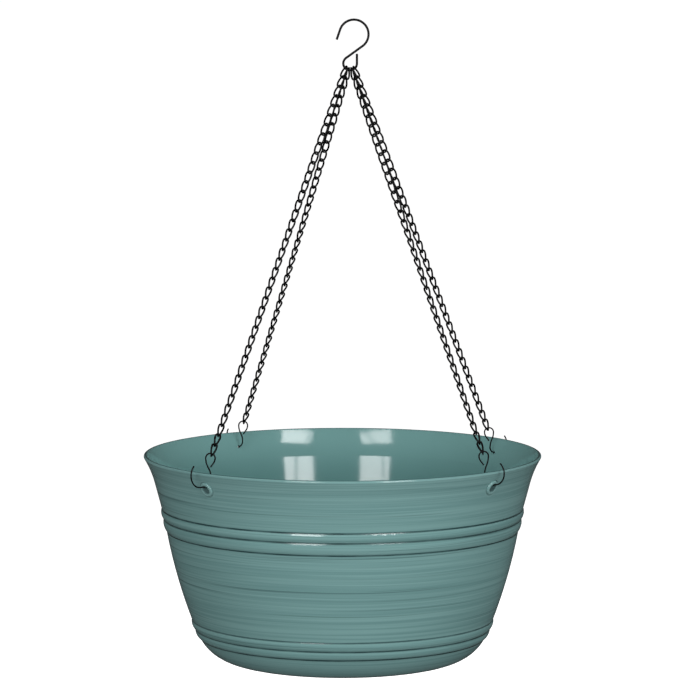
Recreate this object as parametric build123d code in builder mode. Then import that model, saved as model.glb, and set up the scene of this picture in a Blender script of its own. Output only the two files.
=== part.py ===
from build123d import *
from math import asin, atan2, cos, degrees, hypot, radians, sin, sqrt
import os

os.makedirs("parts", exist_ok=True)

# A hanging basket: a round flared planter on four chains. Wire hooks carry the
# planter by four holes under its lip, and an S-hook gathers the chains above it.
# Millimetres, +Z up, origin under the middle of the planter's foot.
# Azimuth 0 is the front (-Y) and a positive azimuth turns towards +X.

# ---- Planter ----
WALL = 3.2
FOOT_RADIUS = 101.0
FOOT_RING_WIDTH = 13.0
FOOT_RECESS = 2.0
FLOOR_TOP = 4.2
SHOULDER_RADIUS = 41.7
LOWER_BAND = [(138.0, 22.5), (142.3, 31.2), (145.6, 40.3)]
BELLY = (159.9, 84.0)
UPPER_BAND = [(169.6, 126.7), (172.2, 138.5), (174.1, 148.1)]
RIB_PROUD = 1.5
NECK = (180.9, 173.5)
FLARE_HOLLOW = 0.8
LIP_CENTRE = (189.3, 198.2)
LIP_RADIUS = 1.8
LIP_LEAN = 30.0
DRAIN_RADIUS = 4.5
DRAIN_CIRCLE = 55.0
DRAIN_HOLES = 4
DRAIN_START = 45.0
DRAIN_CUT = 10.0

# ---- Hook holes and their raised rings ----
AZIMUTHS = {"front_left": -43.3, "back_left": -145.4, "front_right": 49.4, "back_right": 125.0}
HOLE_HEIGHT = 186.25
HOLE_RADIUS = 1.5
HOLE_START = 189.0
HOLE_DEPTH = 12.0
RING_HEIGHT = 184.0
RING_WALL_RADIUS = 184.5
RING_DROP = 24.0
RING_RADIUS = 7.25
RING_PROUD = 1.6
RING_ROOT = 2.2
RING_ROUND = 1.4
MOUTH_RADIUS = 4.8
MOUTH_FLOOR_RADIUS = 3.2
MOUTH_DEPTH = 1.3

# ---- Wire hooks, bent by hand and so all a little different ----
# Each eye and shank foot has a radius and a height from the planter's axis and foot.
# Each crook has the radius of its middle, its own radius, and the angle of its free end.
HOOK_WIRE = 1.4
EYE_RADIUS = 4.4
EYE_TAIL = 8.6
EYE_TAIL_LEAN = 0.7
EYES = {
    "front_left": (179.4, 213.2),
    "back_left": (174.3, 208.3),
    "front_right": (174.5, 212.8),
    "back_right": (175.8, 207.3),
}
SHANK_FEET = {
    "front_left": (178.8, 195.0),
    "back_left": (175.4, 193.2),
    "front_right": (175.5, 195.0),
    "back_right": (177.2, 192.1),
}
CROOKS = {
    "front_left": (192.9, 12.0, 46.0),
    "back_left": (194.8, 9.0, 43.0),
    "front_right": (187.8, 11.3, 55.0),
    "back_right": (188.3, 9.0, 44.0),
}
HOOK_PASS_RADIUS = 181.8
HOOK_PLAY = 0.15
STRAIGHT = 0.001

# ---- S-hook ----
S_WIRE = 2.25
LOOP_CENTRE = (7.3, 574.8)
LOOP_RADIUS = 6.5
LOOP_TAIL = 9.2
CROOK_OFFSET = (3.65, 27.8)
HANGER_RADIUS = 13.9
HANGER_END = 161.0
HANGER_TAIL = 10.2

# ---- Chains: a link's length and waist are measured to the middle of its wire ----
LINKS = 40
LINKS_PER_RUN = 4
LINK_WIRE = 1.8
LINK_LENGTH = 12.0
LINK_WAIST = 2.6
LINK_LEAN = 19.0
ROLL_LINKS = 18
PERCH = {"front_left": -52.0, "back_left": -12.0, "front_right": 12.0, "back_right": 48.0}
LOOP_PLAY = 0.1
EYE_PLAY = 0.65


def radial_point(azimuth, radius, height):
    """A point at a radius and height on the planter's azimuth."""
    angle = radians(azimuth)
    return Vector(radius * sin(angle), -radius * cos(angle), height)


def bulge(start, end, proud):
    """The middle point of a shallow arc that stands proud of a rising wall."""
    run = end[0] - start[0]
    rise = end[1] - start[1]
    offset = proud / hypot(run, rise)
    return (start[0] + run / 2 + offset * rise, start[1] + rise / 2 - offset * run)


def joint_point(start, start_dir, end, end_dir):
    """Where two tangent arcs meet on their way from one point and direction to another."""
    span = end - start
    total = start_dir + end_dir
    spread = 2 * (1 - start_dir.dot(end_dir))
    ahead = span.dot(total)
    reach = span.dot(span) / (sqrt(ahead ** 2 + spread * span.dot(span)) + ahead)
    return (start + end + (start_dir - end_dir) * reach) * 0.5


def bend_through(stations):
    """Lay tangent arcs, or a straight line, between points with their directions."""
    for (start, start_dir), (end, end_dir) in zip(stations, stations[1:]):
        if (end - start).cross(start_dir).length < STRAIGHT:
            Line(start, end)
        else:
            middle = joint_point(start, start_dir.normalized(), end, end_dir.normalized())
            first = TangentArc(start, middle, tangent=start_dir)
            TangentArc(middle, end, tangent=first % 1)


def save(piece, name):
    """Label a finished piece and write its file."""
    piece.part.label = name
    export_step(piece.part, f"parts/{name}.step")


# ---- Planter: one turned shell with ribs, foot ring, drain holes and hook holes ----
lip_out = (cos(radians(LIP_LEAN)) * LIP_RADIUS, sin(radians(LIP_LEAN)) * LIP_RADIUS)
lip_outside = (LIP_CENTRE[0] + lip_out[0], LIP_CENTRE[1] - lip_out[1])
lip_inside = (LIP_CENTRE[0] - lip_out[0], LIP_CENTRE[1] + lip_out[1])
lip_top = (LIP_CENTRE[0] + lip_out[1], LIP_CENTRE[1] + lip_out[0])
shoulder_angle = asin((LOWER_BAND[0][0] - FOOT_RADIUS) / SHOULDER_RADIUS)
inner_shoulder = SHOULDER_RADIUS - FLOOR_TOP
inner_turn = (
    FOOT_RADIUS + inner_shoulder * sin(shoulder_angle),
    SHOULDER_RADIUS - inner_shoulder * cos(shoulder_angle),
)
foot_inside = FOOT_RADIUS - FOOT_RING_WIDTH
neck_inside = (NECK[0] - WALL, NECK[1])
flare_middle = ((lip_inside[0] + neck_inside[0]) / 2 - FLARE_HOLLOW, (lip_inside[1] + NECK[1]) / 2)
upper_inside = (UPPER_BAND[1][0] - WALL, UPPER_BAND[1][1])
belly_inside = (BELLY[0] - WALL, BELLY[1])
lower_inside = (LOWER_BAND[2][0] - WALL, LOWER_BAND[2][1])

ring_planes = []
hole_planes = []
for azimuth in AZIMUTHS.values():
    outward = radial_point(azimuth, cos(radians(RING_DROP)), -sin(radians(RING_DROP)))
    wall_plane = Plane(origin=radial_point(azimuth, RING_WALL_RADIUS, RING_HEIGHT), z_dir=outward)
    ring_planes.append(wall_plane.offset(RING_PROUD))
    hole_start = radial_point(azimuth, HOLE_START, HOLE_HEIGHT)
    hole_planes.append(Plane(origin=hole_start, z_dir=radial_point(azimuth, 1, 0)))

ring_top = (Align.CENTER, Align.CENTER, Align.MAX)

with BuildPart() as hole_ring:
    Cylinder(RING_RADIUS, RING_ROOT + RING_PROUD, align=ring_top)
    fillet(hole_ring.faces().sort_by(Axis.Z)[-1].edges(), RING_ROUND)

with BuildPart() as pot:
    with BuildSketch(Plane.XZ):
        with BuildLine():
            Line((0, FOOT_RECESS), (foot_inside - FOOT_RECESS, FOOT_RECESS))
            Line((foot_inside - FOOT_RECESS, FOOT_RECESS), (foot_inside, 0))
            Line((foot_inside, 0), (FOOT_RADIUS, 0))
            TangentArc((FOOT_RADIUS, 0), LOWER_BAND[0], tangent=(1, 0))
            for band in (LOWER_BAND, UPPER_BAND):
                for start, end in zip(band, band[1:]):
                    ThreePointArc(start, bulge(start, end, RIB_PROUD), end)
            ThreePointArc(LOWER_BAND[-1], BELLY, UPPER_BAND[0])
            neck_line = Line(UPPER_BAND[-1], NECK)
            TangentArc(NECK, lip_outside, tangent=neck_line % 1)
            ThreePointArc(lip_outside, lip_top, lip_inside)
            ThreePointArc(lip_inside, flare_middle, neck_inside)
            Line(neck_inside, upper_inside)
            ThreePointArc(upper_inside, belly_inside, lower_inside)
            Line(lower_inside, inner_turn)
            TangentArc((FOOT_RADIUS, FLOOR_TOP), inner_turn, tangent=(1, 0))
            Line((FOOT_RADIUS, FLOOR_TOP), (0, FLOOR_TOP))
            Line((0, FLOOR_TOP), (0, FOOT_RECESS))
        make_face()
    revolve(axis=Axis.Z)
    with BuildSketch(Plane.XY):
        with PolarLocations(DRAIN_CIRCLE, DRAIN_HOLES, start_angle=DRAIN_START):
            Circle(DRAIN_RADIUS)
    extrude(amount=DRAIN_CUT, mode=Mode.SUBTRACT)
    with Locations(*ring_planes):
        add(hole_ring.part)
    with Locations(*ring_planes):
        Cone(MOUTH_FLOOR_RADIUS, MOUTH_RADIUS, MOUTH_DEPTH, align=ring_top, mode=Mode.SUBTRACT)
    with Locations(*hole_planes):
        Hole(HOLE_RADIUS, HOLE_DEPTH)
save(pot, "pot")

# ---- S-hook: a wide hanger above, a nearly closed loop below, one slanting run between ----
hanger_centre = (LOOP_CENTRE[0] + CROOK_OFFSET[0], LOOP_CENTRE[1] + CROOK_OFFSET[1])
slant = degrees(asin((HANGER_RADIUS + LOOP_RADIUS) / hypot(*CROOK_OFFSET)) + atan2(*CROOK_OFFSET))
hanger_end_dir = (-sin(radians(HANGER_END)), cos(radians(HANGER_END)))

with BuildPart() as s_hook:
    with BuildLine(Plane.XZ):
        hanger = CenterArc(hanger_centre, HANGER_RADIUS, HANGER_END, -HANGER_END - slant)
        hanger_tip = hanger @ 0 + Vector(hanger_end_dir[0], 0, hanger_end_dir[1]) * HANGER_TAIL
        loop = CenterArc(LOOP_CENTRE, LOOP_RADIUS, 180 - slant, 180 + slant)
        tip_line = Line((hanger_tip.X, hanger_tip.Z), ((hanger @ 0).X, (hanger @ 0).Z))
        Line(((hanger @ 1).X, (hanger @ 1).Z), ((loop @ 0).X, (loop @ 0).Z))
        Line(((loop @ 1).X, (loop @ 1).Z), ((loop @ 1).X, (loop @ 1).Z + LOOP_TAIL))
    with BuildSketch(Plane(origin=hanger_tip, z_dir=tip_line % 0)):
        Circle(S_WIRE / 2)
    sweep()
save(s_hook, "s_hook")


# ---- Wire hooks: an open eye, a shank down inside the wall, a crook up outside it ----
def hook_stations(place):
    """Points and directions along one wire hook, from the eye's free tail to the crook."""
    azimuth = AZIMUTHS[place]
    eye = radial_point(azimuth, *EYES[place])
    outer = Vector(1, 0, 0) if azimuth > 0 else Vector(-1, 0, 0)
    up = Vector(0, 0, 1)
    outward = radial_point(azimuth, 1, 0)
    pass_height = HOLE_HEIGHT + HOLE_RADIUS - HOOK_WIRE / 2 - HOOK_PLAY
    middle, crook_radius, end_angle = CROOKS[place]
    end = radians(end_angle)
    crook = radial_point(azimuth, middle, pass_height + crook_radius)
    tip = crook + (outward * cos(end) + up * sin(end)) * crook_radius
    return [
        (eye - up * EYE_TAIL, up - outer * EYE_TAIL_LEAN),
        (eye - outer * EYE_RADIUS, up),
        (eye + up * EYE_RADIUS, outer),
        (eye + outer * EYE_RADIUS, -up),
        (radial_point(azimuth, *SHANK_FEET[place]), -up),
        (radial_point(azimuth, HOOK_PASS_RADIUS, pass_height), outward),
        (crook - up * crook_radius, outward),
        (crook + outward * crook_radius, up),
        (tip, up * cos(end) - outward * sin(end)),
    ]


for place in AZIMUTHS:
    stations = hook_stations(place)
    with BuildPart() as hook:
        with BuildLine():
            bend_through(stations)
        with BuildSketch(Plane(origin=stations[0][0], z_dir=stations[0][1])):
            Circle(HOOK_WIRE / 2)
        sweep()
    save(hook, f"hook_{place}")

# ---- Chain link: an oval of round wire twisted a quarter turn along its length ----
crown = LINK_LENGTH / 2
lean = radians(LINK_LEAN)
quarter = Plane(origin=(0, 0, 0), x_dir=(1, 1, 0), z_dir=(0, 0, 1))
waist = quarter.from_local_coords(Vector(LINK_WAIST, 0, 0))
waist_dir = quarter.from_local_coords(Vector(0, sin(lean), -cos(lean)))

with BuildPart() as link:
    with BuildLine():
        bend_through([
            (Vector(0, 0, crown), Vector(1, 0, 0)),
            (waist, waist_dir),
            (Vector(0, 0, -crown), Vector(0, -1, 0)),
        ])
    with BuildSketch(Plane(origin=(0, 0, crown), z_dir=(1, 0, 0))):
        Circle(LINK_WIRE / 2)
    sweep()
    add(link.part, rotation=(0, 0, 180))


# ---- Chains: each runs straight from the S-hook's loop to its wire hook's eye ----
def link_places(place):
    """The plane of every link of one chain, from the S-hook down."""
    perch = radians(PERCH[place])
    along_loop = Vector(cos(perch), 0, sin(perch))
    loop_centre = Vector(LOOP_CENTRE[0], 0, LOOP_CENTRE[1])
    loop_wire = loop_centre + Vector(sin(perch), 0, -cos(perch)) * LOOP_RADIUS
    eye = radial_point(AZIMUTHS[place], *EYES[place])
    pull = (eye - loop_wire).normalized()
    hang = (pull - along_loop * pull.dot(along_loop)).normalized()
    top = loop_wire - hang * (S_WIRE / 2 + LINK_WIRE / 2 + LOOP_PLAY)
    lift = Vector(-pull.X, 0, -pull.Z).normalized()
    bottom = eye + lift * EYE_RADIUS + pull * (HOOK_WIRE / 2 + LINK_WIRE / 2 + EYE_PLAY)
    up = (top - bottom).normalized()
    spacing = ((top - bottom).length - LINK_LENGTH) / (LINKS - 1)
    facing = (Vector(1, 0, 0) - up * up.X).normalized()
    square = along_loop.cross(up).normalized()
    roll = atan2(up.dot(facing.cross(square)), facing.dot(square))
    places = []
    for index in range(LINKS):
        turn = roll * max(0, 1 - index / ROLL_LINKS)
        wide = facing * cos(turn) + up.cross(facing) * sin(turn)
        places.append(Plane(origin=top - up * (crown + spacing * index), x_dir=wide, z_dir=up))
    return places


for place in AZIMUTHS:
    places = link_places(place)
    runs = {f"top_link_{place}": places[:1]}
    for number, first in enumerate(range(1, LINKS, LINKS_PER_RUN), start=1):
        runs[f"chain_{place}_{number:02d}"] = places[first:first + LINKS_PER_RUN]
    for name, run_places in runs.items():
        with BuildPart() as run:
            with Locations(*run_places):
                add(link.part)
        save(run, name)
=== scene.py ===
"""A glazed hanging planter on four twist-link chains: materials, studio and camera."""
import math

import bpy
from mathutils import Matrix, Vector


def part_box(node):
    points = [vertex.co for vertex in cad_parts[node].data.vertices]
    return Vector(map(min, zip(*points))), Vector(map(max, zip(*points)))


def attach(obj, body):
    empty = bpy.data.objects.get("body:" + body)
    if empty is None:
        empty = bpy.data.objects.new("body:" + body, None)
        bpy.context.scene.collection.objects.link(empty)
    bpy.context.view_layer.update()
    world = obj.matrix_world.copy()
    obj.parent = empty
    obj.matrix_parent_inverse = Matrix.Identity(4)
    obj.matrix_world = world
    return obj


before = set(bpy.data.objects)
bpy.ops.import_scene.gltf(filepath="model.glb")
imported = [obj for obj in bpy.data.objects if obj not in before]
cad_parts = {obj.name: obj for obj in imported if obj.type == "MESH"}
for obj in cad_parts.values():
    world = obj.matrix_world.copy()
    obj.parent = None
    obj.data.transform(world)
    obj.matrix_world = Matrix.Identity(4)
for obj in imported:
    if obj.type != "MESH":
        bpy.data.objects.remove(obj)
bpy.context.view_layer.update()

# ---------------------------------------------------------------- sizes, in metres
GROOVES = (  # height, half width and strength of the dark line along each groove
    (0.0225, 0.0013, 1.0),
    (0.0312, 0.0013, 0.9),
    (0.0403, 0.0012, 0.8),
    (0.1267, 0.0012, 1.0),
    (0.1385, 0.0014, 0.9),
    (0.1481, 0.0013, 1.0),
)
HOLE_HEIGHT = 0.184
HOLE_RADIUS = 0.1845  # from the planter's axis to the mouth of a hook hole
HOLE_AZIMUTHS = (-43.3, -145.4, 49.4, 125.0)  # 0 is -Y, and + turns towards +X
BOSS_RADIUS = 0.0085  # of the raised ring round a hook hole
MOUTH_RADIUS = 0.0052
FOOT_LOW, FOOT_EDGE = 0.001, 0.0035  # heights between which the painted shade at the foot's bottom edge fades
INNER_DARK, INNER_LIGHT = 0.155, 0.198  # heights between which the painted shade inside the planter fades out

LIP_BEAD = 0.0018  # the lip's own radius
LIP_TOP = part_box("pot")[1].z
LIP_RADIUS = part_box("pot")[1].x - LIP_BEAD  # the middle of the rolled lip
LIP_LEVEL = LIP_TOP - 0.0014  # where the dark line on the lip begins
LIP_SKIN = 0.00006  # how far the smooth bead stands off the CAD lip
LIP_STEPS = 720
LIP_ARC_STEPS = 22
LIP_FROM, LIP_TO = -28.0, 148.0  # degrees, from the outer side over the top to the inner side
LIP_TUCK = 0.00018  # how far the bead's two edges drop inside the wall
LIP_TUCK_SHARE = 0.5  # how far they draw in towards the middle of the lip


# ---------------------------------------------------------------- node helpers


class Graph:
    """Short calls that add nodes to one material or world."""

    def __init__(self, tree):
        self.tree = tree
        tree.nodes.clear()

    def add(self, kind, inputs=None, **settings):
        made = self.tree.nodes.new(kind)
        for name, value in settings.items():
            setattr(made, name, value)
        for name, value in (inputs or {}).items():
            self.put(made.inputs[name], value)
        return made

    def put(self, socket, value):
        if isinstance(value, bpy.types.NodeSocket):
            self.tree.links.new(value, socket)
        elif value is not None:
            socket.default_value = value

    def math(self, operation, a, b=None, c=None):
        made = self.add("ShaderNodeMath", operation=operation)
        for socket, value in zip(made.inputs, (a, b, c)):
            self.put(socket, value)
        return made.outputs[0]

    def vector(self, operation, a, b=None):
        made = self.add("ShaderNodeVectorMath", operation=operation)
        self.put(made.inputs[0], a)
        self.put(made.inputs[1], b)
        return made.outputs["Value" if operation in ("DOT_PRODUCT", "DISTANCE") else "Vector"]

    def ramp(self, value, low, high, start=0.0, end=1.0):
        """Go smoothly from start to end as value goes from low to high."""
        made = self.add("ShaderNodeMapRange", interpolation_type="SMOOTHSTEP")
        sockets = ("Value", "From Min", "From Max", "To Min", "To Max")
        for name, item in zip(sockets, (value, low, high, start, end)):
            self.put(made.inputs[name], item)
        return made.outputs["Result"]

    def noise(self, vector, scale=1.0, detail=2.0, rough=0.5):
        made = self.add("ShaderNodeTexNoise", {
            "Vector": vector, "Scale": scale, "Detail": detail, "Roughness": rough})
        return made.outputs["Fac"]

    def drawn_noise(self, point, steps, detail=2.0, rough=0.5):
        """Noise with its own number of steps per metre along x, y and z."""
        return self.noise(self.vector("MULTIPLY", point, steps), detail=detail, rough=rough)

    def mix(self, factor, a, b):
        made = self.add("ShaderNodeMix", data_type="RGBA")
        self.put(made.inputs["Factor"], factor)
        self.put(made.inputs["A"], a)
        self.put(made.inputs["B"], b)
        return made.outputs["Result"]

    def blend(self, factor, a, b):
        """The same as mix, for plain numbers."""
        made = self.add("ShaderNodeMix", data_type="FLOAT")
        self.put(made.inputs["Factor"], factor)
        self.put(made.inputs["A"], a)
        self.put(made.inputs["B"], b)
        return made.outputs["Result"]


def material(name):
    made = bpy.data.materials.new(name)
    made.use_nodes = True
    return made, Graph(made.node_tree)


def finish_material(g, shader, bump):
    g.put(shader.inputs["Normal"], bump.outputs["Normal"])
    out = g.add("ShaderNodeOutputMaterial")
    g.put(out.inputs["Surface"], shader.outputs["BSDF"])


# ---------------------------------------------------------------- glazed shell
LIGHT_GLAZE = (0.194, 0.352, 0.345, 1.0)
DEEP_GLAZE = (0.140, 0.274, 0.270, 1.0)
# dark colour of the streak lines and dark lines, and of the painted shade in the hook holes and at the
# foot
DARK_WASH_AND_SHADE = (0.020, 0.050, 0.052, 1.0)
INNER_GLAZE = (0.147, 0.298, 0.290, 1.0)
# painted shade: the inside is darker lower down, where less light reaches
INNER_SHADE = (0.096, 0.212, 0.207, 1.0)

# noise steps per metre along x, y and z: few round the planter, many up it
WANDER_STEPS = (7, 7, 10)
FINE_STEPS = (4, 4, 640)
BROAD_STEPS = (3, 3, 170)
HAIR_STEPS = (3.5, 3.5, 430)
DARKENING_STEPS = (40, 40, 12)
CLOUD_SCALE = 11
WANDER_HEIGHT = 0.0022  # how far a brush stroke strays up or down, in metres

# noise from and to, then the amount from and to
FINE_STROKES = (0.32, 0.70, 0.0, 0.85)
BROAD_STROKES = (0.30, 0.75, 0.0, 0.40)
HAIR_LINES = (0.62, 0.80, 0.0, 0.40)
UNEVEN_DARKENING = (0.25, 0.65, 0.72, 1.0)

OUTSIDE_FROM, OUTSIDE_TO = -0.1, 0.3  # how far outward a face looks, from inside to outside
LEVEL_WEIGHT = -0.5  # a face that looks up counts towards the inside
BOSS_CLEAR_FROM, BOSS_CLEAR_TO = BOSS_RADIUS * 0.8, BOSS_RADIUS * 1.25
# painted shade in the mouths of the hook holes
MOUTH_FULL, MOUTH_SHADE = MOUTH_RADIUS * 0.7, 0.9
RING_LINE_RADIUS, RING_LINE_HALF, RING_LINE_STRENGTH = BOSS_RADIUS * 0.92, 0.0009, 0.55
GROOVE_CORE = 0.25  # the share of a groove's half width that is fully dark
LIP_LINE_FULL, LIP_LINE_EDGE, LIP_LINE = 0.0004, 0.0013, 0.9
LIP_LINE_FADE = 0.0006
INNER_STRAY = 0.008  # how unevenly the painted shade inside fades out, in metres

ROUGH_OUT, ROUGH_OUT_FINE, ROUGH_OUT_DARKENED = 0.05, 0.10, 0.15
ROUGH_IN, ROUGH_IN_CLOUD = 0.07, 0.05
CLOUD_RELIEF = 0.6
GLAZE_BUMP = {"Strength": 0.5, "Distance": 0.00008}
COAT_IOR = 1.5


def hole_distance(g, point):
    """How far a point is from the nearest hook hole."""
    near = None
    for azimuth in HOLE_AZIMUTHS:
        turn = math.radians(azimuth)
        centre = (HOLE_RADIUS * math.sin(turn), -HOLE_RADIUS * math.cos(turn), HOLE_HEIGHT)
        away = g.vector("DISTANCE", point, centre)
        near = away if near is None else g.math("MINIMUM", near, away)
    return near


def brushed_coat(g, axes, point, off_boss):
    """Brush strokes that run round the planter and wander a little. Also gives the finest noise."""
    wander = g.drawn_noise(point, WANDER_STEPS, detail=1.0)
    lifted = g.math("MULTIPLY_ADD", wander, WANDER_HEIGHT, axes.outputs["Z"])
    stroke_point = g.add("ShaderNodeCombineXYZ", {
        "X": axes.outputs["X"], "Y": axes.outputs["Y"], "Z": lifted}).outputs[0]
    fine = g.drawn_noise(stroke_point, FINE_STEPS, detail=3.0, rough=0.6)
    broad = g.drawn_noise(stroke_point, BROAD_STEPS)
    hair = g.drawn_noise(stroke_point, HAIR_STEPS, detail=1.0)
    strokes = g.math("ADD", g.ramp(fine, *FINE_STROKES), g.ramp(broad, *BROAD_STROKES))
    coat = g.mix(g.math("MULTIPLY", strokes, off_boss), LIGHT_GLAZE, DEEP_GLAZE)
    lines = g.math("MULTIPLY", g.ramp(hair, *HAIR_LINES), off_boss)
    return g.mix(lines, coat, DARK_WASH_AND_SHADE), fine


def shade_and_lines_amount(g, point, height, near):
    """Painted shade in the hook holes and at the foot's edge, and dark lines along the grooves and
    round the raised rings.
    """
    shade_and_lines = None
    for level, half, strength in GROOVES:
        off = g.math("ABSOLUTE", g.math("SUBTRACT", height, level))
        line = g.ramp(off, half * GROOVE_CORE, half, strength, 0.0)
        shade_and_lines = line if shade_and_lines is None else g.math("MAXIMUM", shade_and_lines, line)
    # painted shade in the mouths of the hook holes
    shade_and_lines = g.math("MAXIMUM", shade_and_lines, g.ramp(near, MOUTH_FULL, MOUTH_RADIUS, MOUTH_SHADE, 0.0))
    ring = g.math("ABSOLUTE", g.math("SUBTRACT", near, RING_LINE_RADIUS))
    shade_and_lines = g.math("MAXIMUM", shade_and_lines, g.ramp(ring, 0.0, RING_LINE_HALF, RING_LINE_STRENGTH, 0.0))
    # painted shade along the foot's bottom edge
    shade_and_lines = g.math("MAXIMUM", shade_and_lines, g.ramp(height, FOOT_LOW, FOOT_EDGE, 1.0, 0.0))
    return g.math("MULTIPLY", shade_and_lines, g.ramp(g.drawn_noise(point, DARKENING_STEPS), *UNEVEN_DARKENING))


def lip_line_amount(g, flat, height):
    """The thin dark line along the top of the lip."""
    reach = g.vector("DISTANCE", flat, (0, 0, 0))
    off_lip = g.math("ABSOLUTE", g.math("SUBTRACT", reach, LIP_RADIUS))
    return g.math("MULTIPLY", g.ramp(off_lip, LIP_LINE_FULL, LIP_LINE_EDGE, LIP_LINE, 0.0),
                  g.ramp(height, LIP_LEVEL, LIP_LEVEL + LIP_LINE_FADE))


def glaze_material():
    made, g = material("antiqued_glaze_and_painted_shade")
    place = g.add("ShaderNodeTexCoord")
    point, normal = place.outputs["Object"], place.outputs["Normal"]
    axes = g.add("ShaderNodeSeparateXYZ", {"Vector": point})
    height = axes.outputs["Z"]
    flat = g.vector("MULTIPLY", point, (1, 1, 0))
    facing = g.vector("DOT_PRODUCT", normal, g.vector("NORMALIZE", flat))
    rise = g.add("ShaderNodeSeparateXYZ", {"Vector": normal}).outputs["Z"]
    outside = g.ramp(g.math("MULTIPLY_ADD", rise, LEVEL_WEIGHT, facing), OUTSIDE_FROM, OUTSIDE_TO)

    near = hole_distance(g, point)
    off_boss = g.ramp(near, BOSS_CLEAR_FROM, BOSS_CLEAR_TO)
    cloud = g.noise(point, scale=CLOUD_SCALE)
    coat, fine = brushed_coat(g, axes, point, off_boss)
    # painted shade in the hook holes and at the foot, with the dark lines along the grooves and round
    # the rings
    shade_and_lines = shade_and_lines_amount(g, point, height, near)
    coat = g.mix(shade_and_lines, coat, DARK_WASH_AND_SHADE)
    # painted shade: the inside darker lower down
    uneven_height = g.math("MULTIPLY_ADD", cloud, INNER_STRAY, height)
    inner = g.mix(g.ramp(uneven_height, INNER_DARK, INNER_LIGHT), INNER_SHADE, INNER_GLAZE)
    colour = g.mix(outside, inner, coat)
    colour = g.mix(lip_line_amount(g, flat, height), colour, DARK_WASH_AND_SHADE)

    rough_out = g.math("MULTIPLY_ADD", fine, ROUGH_OUT_FINE, ROUGH_OUT)
    rough_out = g.math("MULTIPLY_ADD", shade_and_lines, ROUGH_OUT_DARKENED, rough_out)
    rough_in = g.math("MULTIPLY_ADD", cloud, ROUGH_IN_CLOUD, ROUGH_IN)
    rough = g.blend(outside, rough_in, rough_out)
    relief = g.math("MULTIPLY", g.math("MULTIPLY", fine, outside), off_boss)
    relief = g.math("MULTIPLY_ADD", cloud, CLOUD_RELIEF, relief)
    bump = g.add("ShaderNodeBump", {"Height": relief, **GLAZE_BUMP})
    shader = g.add("ShaderNodeBsdfPrincipled", {
        "Base Color": colour, "Roughness": rough, "IOR": COAT_IOR})
    finish_material(g, shader, bump)
    return made


# ---------------------------------------------------------------- black wire
GRAIN_SCALE, PATCH_SCALE = 900, 160
GRAIN_LOW, GRAIN_HIGH = 0.3, 0.7
WORN_FROM, WORN_TO = 0.45, 0.75
WIRE_BUMP = {"Strength": 0.35, "Distance": 0.00006}


def wire_material(name, body, worn, rough_low, rough_high, gloss):
    made, g = material(name)
    point = g.add("ShaderNodeTexCoord").outputs["Object"]
    grain = g.noise(point, scale=GRAIN_SCALE, detail=3.0, rough=0.6)
    patch = g.noise(point, scale=PATCH_SCALE)
    colour = g.mix(g.ramp(patch, WORN_FROM, WORN_TO), body, worn)
    rough = g.ramp(grain, GRAIN_LOW, GRAIN_HIGH, rough_low, rough_high)
    bump = g.add("ShaderNodeBump", {"Height": grain, **WIRE_BUMP})
    shader = g.add("ShaderNodeBsdfPrincipled", {
        "Base Color": colour, "Roughness": rough, "IOR": COAT_IOR, "Specular IOR Level": gloss})
    finish_material(g, shader, bump)
    return made


GLAZE = glaze_material()
CHAIN = wire_material(
    "black_chain_coat", body=(0.0012, 0.0012, 0.0014, 1), worn=(0.006, 0.006, 0.0065, 1),
    rough_low=0.34, rough_high=0.55, gloss=0.14)
STEEL = wire_material(
    "black_hook_coat", body=(0.0014, 0.0014, 0.0016, 1), worn=(0.007, 0.007, 0.0078, 1),
    rough_low=0.28, rough_high=0.46, gloss=0.18)


def coat_nodes():
    for name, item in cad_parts.items():
        if name == "pot":
            coat = GLAZE
        elif name.startswith(("chain", "top_link")):
            coat = CHAIN
        else:
            coat = STEEL
        for slot in item.material_slots:
            slot.material = coat


# ---------------------------------------------------------------- rolled lip


def lip_profile():
    """Points (radius, height) round the bead, closed through the wall under it."""
    points = []
    size = LIP_BEAD + LIP_SKIN
    for step in range(LIP_ARC_STEPS + 1):
        turn = math.radians(LIP_FROM + (LIP_TO - LIP_FROM) * step / LIP_ARC_STEPS)
        points.append((LIP_RADIUS + size * math.cos(turn), LIP_TOP - LIP_BEAD + size * math.sin(turn)))
    for radius, height in (points[-1], points[0]):
        points.append((radius + (LIP_RADIUS - radius) * LIP_TUCK_SHARE, height - LIP_TUCK))
    return points


def make_lip():
    """A finely turned bead on the planter's lip, where the light catches it."""
    profile = lip_profile()
    verts, faces = [], []
    count = len(profile)
    for step in range(LIP_STEPS):
        turn = 2 * math.pi * step / LIP_STEPS
        verts.extend((r * math.sin(turn), -r * math.cos(turn), z) for r, z in profile)
        nearby = (step + 1) % LIP_STEPS
        for i in range(count):
            j = (i + 1) % count
            faces.append((step * count + i, nearby * count + i, nearby * count + j, step * count + j))
    mesh = bpy.data.meshes.new("lip_bead")
    mesh.from_pydata(verts, [], faces)
    mesh.polygons.foreach_set("use_smooth", [True] * len(faces))
    mesh.materials.append(GLAZE)
    bead = bpy.data.objects.new("lip_bead", mesh)
    bpy.context.scene.collection.objects.link(bead)
    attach(bead, "planter")


# ---------------------------------------------------------------- studio
FLOOR_LEVEL = -0.38
FLOOR_HALF = 60.0
FLOOR_COLOUR = (0.8, 0.8, 0.8, 1)
FLOOR_GLOW = 0.85


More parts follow.
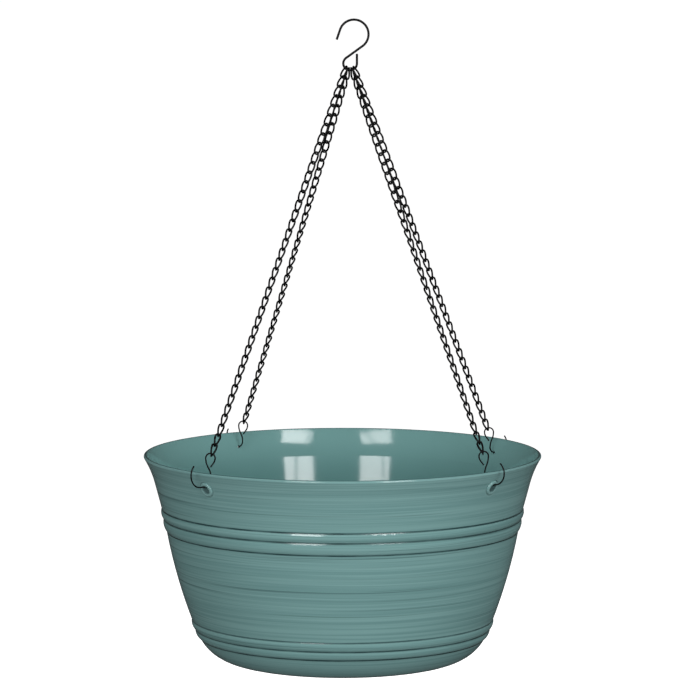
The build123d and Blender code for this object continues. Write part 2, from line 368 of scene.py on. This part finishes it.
def floor_material():
    """Pale glowing paper that is clear from below, so that it doesn't hide the underside."""
    made, g = material("pale_paper")
    diffuse = g.add("ShaderNodeBsdfDiffuse", {"Color": FLOOR_COLOUR})
    glow = g.add("ShaderNodeEmission", {"Color": (1, 1, 1, 1), "Strength": FLOOR_GLOW})
    both = g.add("ShaderNodeAddShader")
    g.put(both.inputs[0], diffuse.outputs[0])
    g.put(both.inputs[1], glow.outputs[0])
    clear = g.add("ShaderNodeBsdfTransparent")
    side = g.add("ShaderNodeNewGeometry")
    pick = g.add("ShaderNodeMixShader")
    g.put(pick.inputs[0], side.outputs["Backfacing"])
    g.put(pick.inputs[1], both.outputs[0])
    g.put(pick.inputs[2], clear.outputs[0])
    out = g.add("ShaderNodeOutputMaterial")
    g.put(out.inputs["Surface"], pick.outputs[0])
    return made


def make_floor():
    mesh = bpy.data.meshes.new("studio_floor")
    corners = [(x * FLOOR_HALF, y * FLOOR_HALF, FLOOR_LEVEL)
               for x, y in ((-1, -1), (1, -1), (1, 1), (-1, 1))]
    mesh.from_pydata(corners, [], [(0, 1, 2, 3)])
    floor = bpy.data.objects.new("studio_floor", mesh)
    bpy.context.scene.collection.objects.link(floor)
    mesh.materials.append(floor_material())
    floor.visible_glossy = False
    floor.visible_diffuse = False


AIM = Vector((0.0, 0.0, 0.12))
BOX_DISTANCE = 3.0
LOW_ELEVATION, LOW_SIZE = 16.0, (1.0, 0.95)
HIGH_ELEVATION, HIGH_SIZE = 41.4, (0.86, 0.545)
HIGH_TURN = 1.12  # the high boxes stand a little further round than the low ones
FRONT_BOXES = (  # side, azimuth, watts of the low box and of the high box
    ("left", -22.0, 29.0, 13.8),
    ("right", 30.0, 32.0, 16.6),
)
BACK_FILLS = (("left", -140.0), ("right", 140.0))
BACK_ELEVATION, BACK_SIZE, BACK_WATTS = 25.0, (2.5, 2.0), 26.0


def soft_box(name, azimuth, elevation, size, watts, in_gloss=True):
    """A soft light turned to the planter. Azimuth 0 is -Y, and + turns towards +X."""
    turn, lift = math.radians(azimuth), math.radians(elevation)
    out = Vector((math.sin(turn) * math.cos(lift), -math.cos(turn) * math.cos(lift),
                  math.sin(lift)))
    data = bpy.data.lights.new(name, "AREA")
    data.shape = "RECTANGLE"
    data.size, data.size_y = size
    data.energy = watts
    lamp = bpy.data.objects.new(name, data)
    lamp.location = AIM + out * BOX_DISTANCE
    lamp.rotation_euler = out.to_track_quat("Z", "Y").to_euler()
    lamp.visible_camera = False
    lamp.visible_glossy = in_gloss
    bpy.context.scene.collection.objects.link(lamp)


def make_lights():
    for side, azimuth, low_watts, high_watts in FRONT_BOXES:
        soft_box(f"low_box_{side}", azimuth, LOW_ELEVATION, LOW_SIZE, low_watts)
        soft_box(f"high_box_{side}", azimuth * HIGH_TURN, HIGH_ELEVATION, HIGH_SIZE, high_watts)
    for side, azimuth in BACK_FILLS:
        soft_box(f"back_fill_{side}", azimuth, BACK_ELEVATION, BACK_SIZE, BACK_WATTS, in_gloss=False)


WORLD_FROM, WORLD_TO = -1.0, 0.2  # height of a direction, from straight down to just over level
WORLD_BELOW, WORLD_ABOVE = 0.52, 0.28
WORLD_IN_GLOSS = 0.05
WORLD_SEEN = 1.0  # plain white behind the planter


def make_world():
    world = bpy.data.worlds.new("studio")
    bpy.context.scene.world = world
    world.use_nodes = True
    g = Graph(world.node_tree)
    ray = g.add("ShaderNodeLightPath")
    place = g.add("ShaderNodeTexCoord")
    towards = g.add("ShaderNodeSeparateXYZ", {"Vector": place.outputs["Generated"]}).outputs["Z"]
    soft = g.ramp(towards, WORLD_FROM, WORLD_TO, WORLD_BELOW, WORLD_ABOVE)
    light = g.blend(ray.outputs["Is Glossy Ray"], soft, WORLD_IN_GLOSS)
    seen = g.blend(ray.outputs["Is Camera Ray"], light, WORLD_SEEN)
    glow = g.add("ShaderNodeBackground", {"Strength": seen})
    out = g.add("ShaderNodeOutputWorld")
    g.put(out.inputs["Surface"], glow.outputs[0])


CAMERA_DISTANCE = 4.328
CAMERA_RISE = 6.43  # degrees
AIM_HEIGHT = 0.300
CAMERA_SIDE = 0.0072
LENS, SENSOR = 231.9, 36.0  # millimetres
CLIP_NEAR, CLIP_FAR = 0.1, 200.0


def make_camera():
    data = bpy.data.cameras.new("camera")
    data.lens, data.sensor_width = LENS, SENSOR
    data.clip_start, data.clip_end = CLIP_NEAR, CLIP_FAR
    eye = bpy.data.objects.new("camera", data)
    rise = math.radians(CAMERA_RISE)
    eye.location = (CAMERA_SIDE, -CAMERA_DISTANCE * math.cos(rise),
                    AIM_HEIGHT + CAMERA_DISTANCE * math.sin(rise))
    eye.rotation_euler = (math.radians(90) - rise, 0, 0)
    bpy.context.scene.collection.objects.link(eye)
    bpy.context.scene.camera = eye


coat_nodes()
make_lip()
make_floor()
make_lights()
make_world()
make_camera()
bpy.context.scene.view_settings.view_transform = "Standard"
